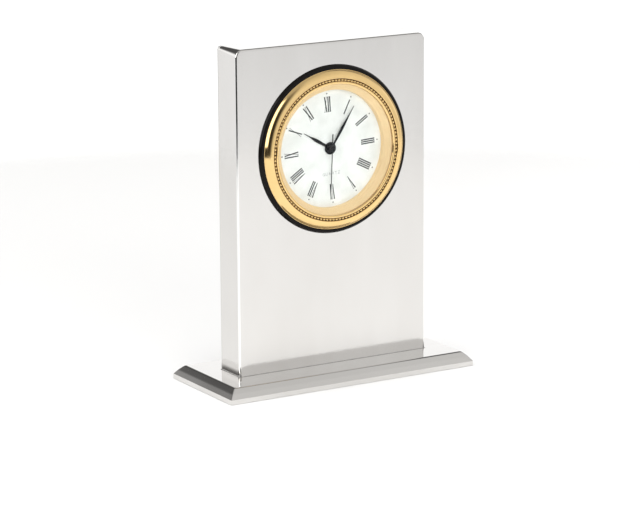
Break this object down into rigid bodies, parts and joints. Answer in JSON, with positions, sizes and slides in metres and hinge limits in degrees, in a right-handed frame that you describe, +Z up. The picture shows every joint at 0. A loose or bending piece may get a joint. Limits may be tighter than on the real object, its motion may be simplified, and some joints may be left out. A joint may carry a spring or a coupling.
{
  "type": "mantel clock",
  "caption": "Slim upright polished metal mantel clock on a bevelled base, with a round gilt-bezel quartz insert, white Roman-numeral dial and black hands.",
  "frame": {"origin": "centre of the base's underside, on the surface that the clock stands on", "axes": "+Z up; -Y out of the dial towards the reader; +X to the reader's right"},
  "size_m": [0.1084, 0.046, 0.1306],
  "materials": {
    "case_metal": "polished nickel plate with a faint satin haze",
    "base_metal": "polished nickel plate",
    "inner_steel": "plain rolled sheet",
    "ballast": "blackened steel",
    "felt": "black felt",
    "screw_steel": "zinc plated",
    "insert_black": "gloss black",
    "grip_rubber": "soft black rubber",
    "gilt": "polished gilt",
    "clear_glass": "clear",
    "dial_white": "white lacquer with black printing",
    "hand_black": "gloss black lacquer",
    "movement_plastic": "moulded",
    "hatch_plastic": "moulded, fine spark texture",
    "wheel_plastic": "moulded acetal",
    "wheel_brass": "machined",
    "spring_steel": "blued-grey strip",
    "plate_metal": "satin nickel silver",
    "magnet": "sintered magnet",
    "soft_iron": "annealed stator iron",
    "bobbin_plastic": "natural nylon",
    "copper_wire": "enamelled copper wire",
    "board": "solder mask over glass laminate",
    "chip_epoxy": "moulded epoxy",
    "can_metal": "drawn can",
    "cell_steel": "bright nickel-plated cell",
    "contact_gilt": "gold-flashed spring strip",
    "knob_plastic": "moulded light grey"
  },
  "bodies": {
    "clock": {"front_plate": "case_metal", "case_band": "case_metal", "back_plate": "case_metal", "case_floor": "inner_steel", "base_shell": "base_metal", "base_weight": "ballast", "base_felt": "felt", "base_screws": "screw_steel", "base_washers": "screw_steel", "insert_cup": "insert_black", "grip_band": "grip_rubber", "bezel": "gilt", "crystal": "clear_glass", "reflector_ring": "gilt", "dial": "dial_white", "movement_case": "movement_plastic", "train_plate": "plate_metal", "movement_cover": "movement_plastic", "movement_screws": "screw_steel", "stator": "soft_iron", "coil_core": "soft_iron", "coil_bobbin": "bobbin_plastic", "coil_winding": "copper_wire", "circuit_board": "board", "driver_chip": "chip_epoxy", "quartz_can": "can_metal", "battery": "cell_steel", "contact_plus": "contact_gilt", "contact_minus": "contact_gilt"},
    "second_arbor": {"seconds_wheel": "wheel_brass", "second_hand": "hand_black"},
    "third_arbor": {"third_wheel": "wheel_plastic"},
    "centre_wheel": {"centre_wheel": "wheel_brass"},
    "step_arbor": {"step_wheel": "wheel_plastic"},
    "rotor": {"rotor_pinion": "wheel_plastic", "rotor_magnet": "magnet"},
    "minute_arbor": {"cannon_pinion": "wheel_brass", "clutch_spring": "spring_steel", "minute_hand": "hand_black"},
    "setting_arbor": {"motion_wheel": "wheel_plastic", "set_knob": "knob_plastic"},
    "hour_arbor": {"hour_wheel": "wheel_brass", "hour_hand": "hand_black"},
    "battery_hatch": {"battery_hatch": "hatch_plastic"}
  },
  "joints": [
    {"name": "second_hand_turn", "type": "hinge", "parent": "clock", "child": "second_arbor", "pos_m": [0, 0.0008, 0.0893], "axis": [0, 1, 0], "continuous": true},
    {"name": "third_wheel_turn", "type": "hinge", "parent": "clock", "child": "third_arbor", "pos_m": [0, 0.0008, 0.09542], "axis": [0, 1, 0], "continuous": true},
    {"name": "centre_wheel_turn", "type": "hinge", "parent": "clock", "child": "centre_wheel", "pos_m": [0, 0.0008, 0.0893], "axis": [0, 1, 0], "continuous": true},
    {"name": "step_wheel_turn", "type": "hinge", "parent": "clock", "child": "step_arbor", "pos_m": [-0.0063, 0.0008, 0.0893], "axis": [0, 1, 0], "continuous": true},
    {"name": "rotor_turn", "type": "hinge", "parent": "clock", "child": "rotor", "pos_m": [-0.01134, 0.0008, 0.0893], "axis": [0, 1, 0], "continuous": true},
    {"name": "minute_hand_turn", "type": "hinge", "parent": "clock", "child": "minute_arbor", "pos_m": [0, 0.0008, 0.0893], "axis": [0, 1, 0], "continuous": true},
    {"name": "set_knob_turn", "type": "hinge", "parent": "clock", "child": "setting_arbor", "pos_m": [0.00672, 0.0008, 0.0893], "axis": [0, 1, 0], "continuous": true},
    {"name": "hour_hand_turn", "type": "hinge", "parent": "clock", "child": "hour_arbor", "pos_m": [0, 0.0008, 0.0893], "axis": [0, 1, 0], "continuous": true},
    {"name": "battery_hatch_turn", "type": "hinge", "parent": "clock", "child": "battery_hatch", "pos_m": [0, 0.0008, 0.0763], "axis": [0, 1, 0], "range_deg": [0, 45]}
  ],
  "couplings": [
    {"joint": "third_wheel_turn", "follows": "second_hand_turn", "ratio": -0.13333},
    {"joint": "centre_wheel_turn", "follows": "second_hand_turn", "ratio": 0.016667},
    {"joint": "step_wheel_turn", "follows": "second_hand_turn", "ratio": -6},
    {"joint": "rotor_turn", "follows": "second_hand_turn", "ratio": 30},
    {"joint": "set_knob_turn", "follows": "minute_hand_turn", "ratio": -0.33333},
    {"joint": "hour_hand_turn", "follows": "minute_hand_turn", "ratio": 0.083333}
  ]
}
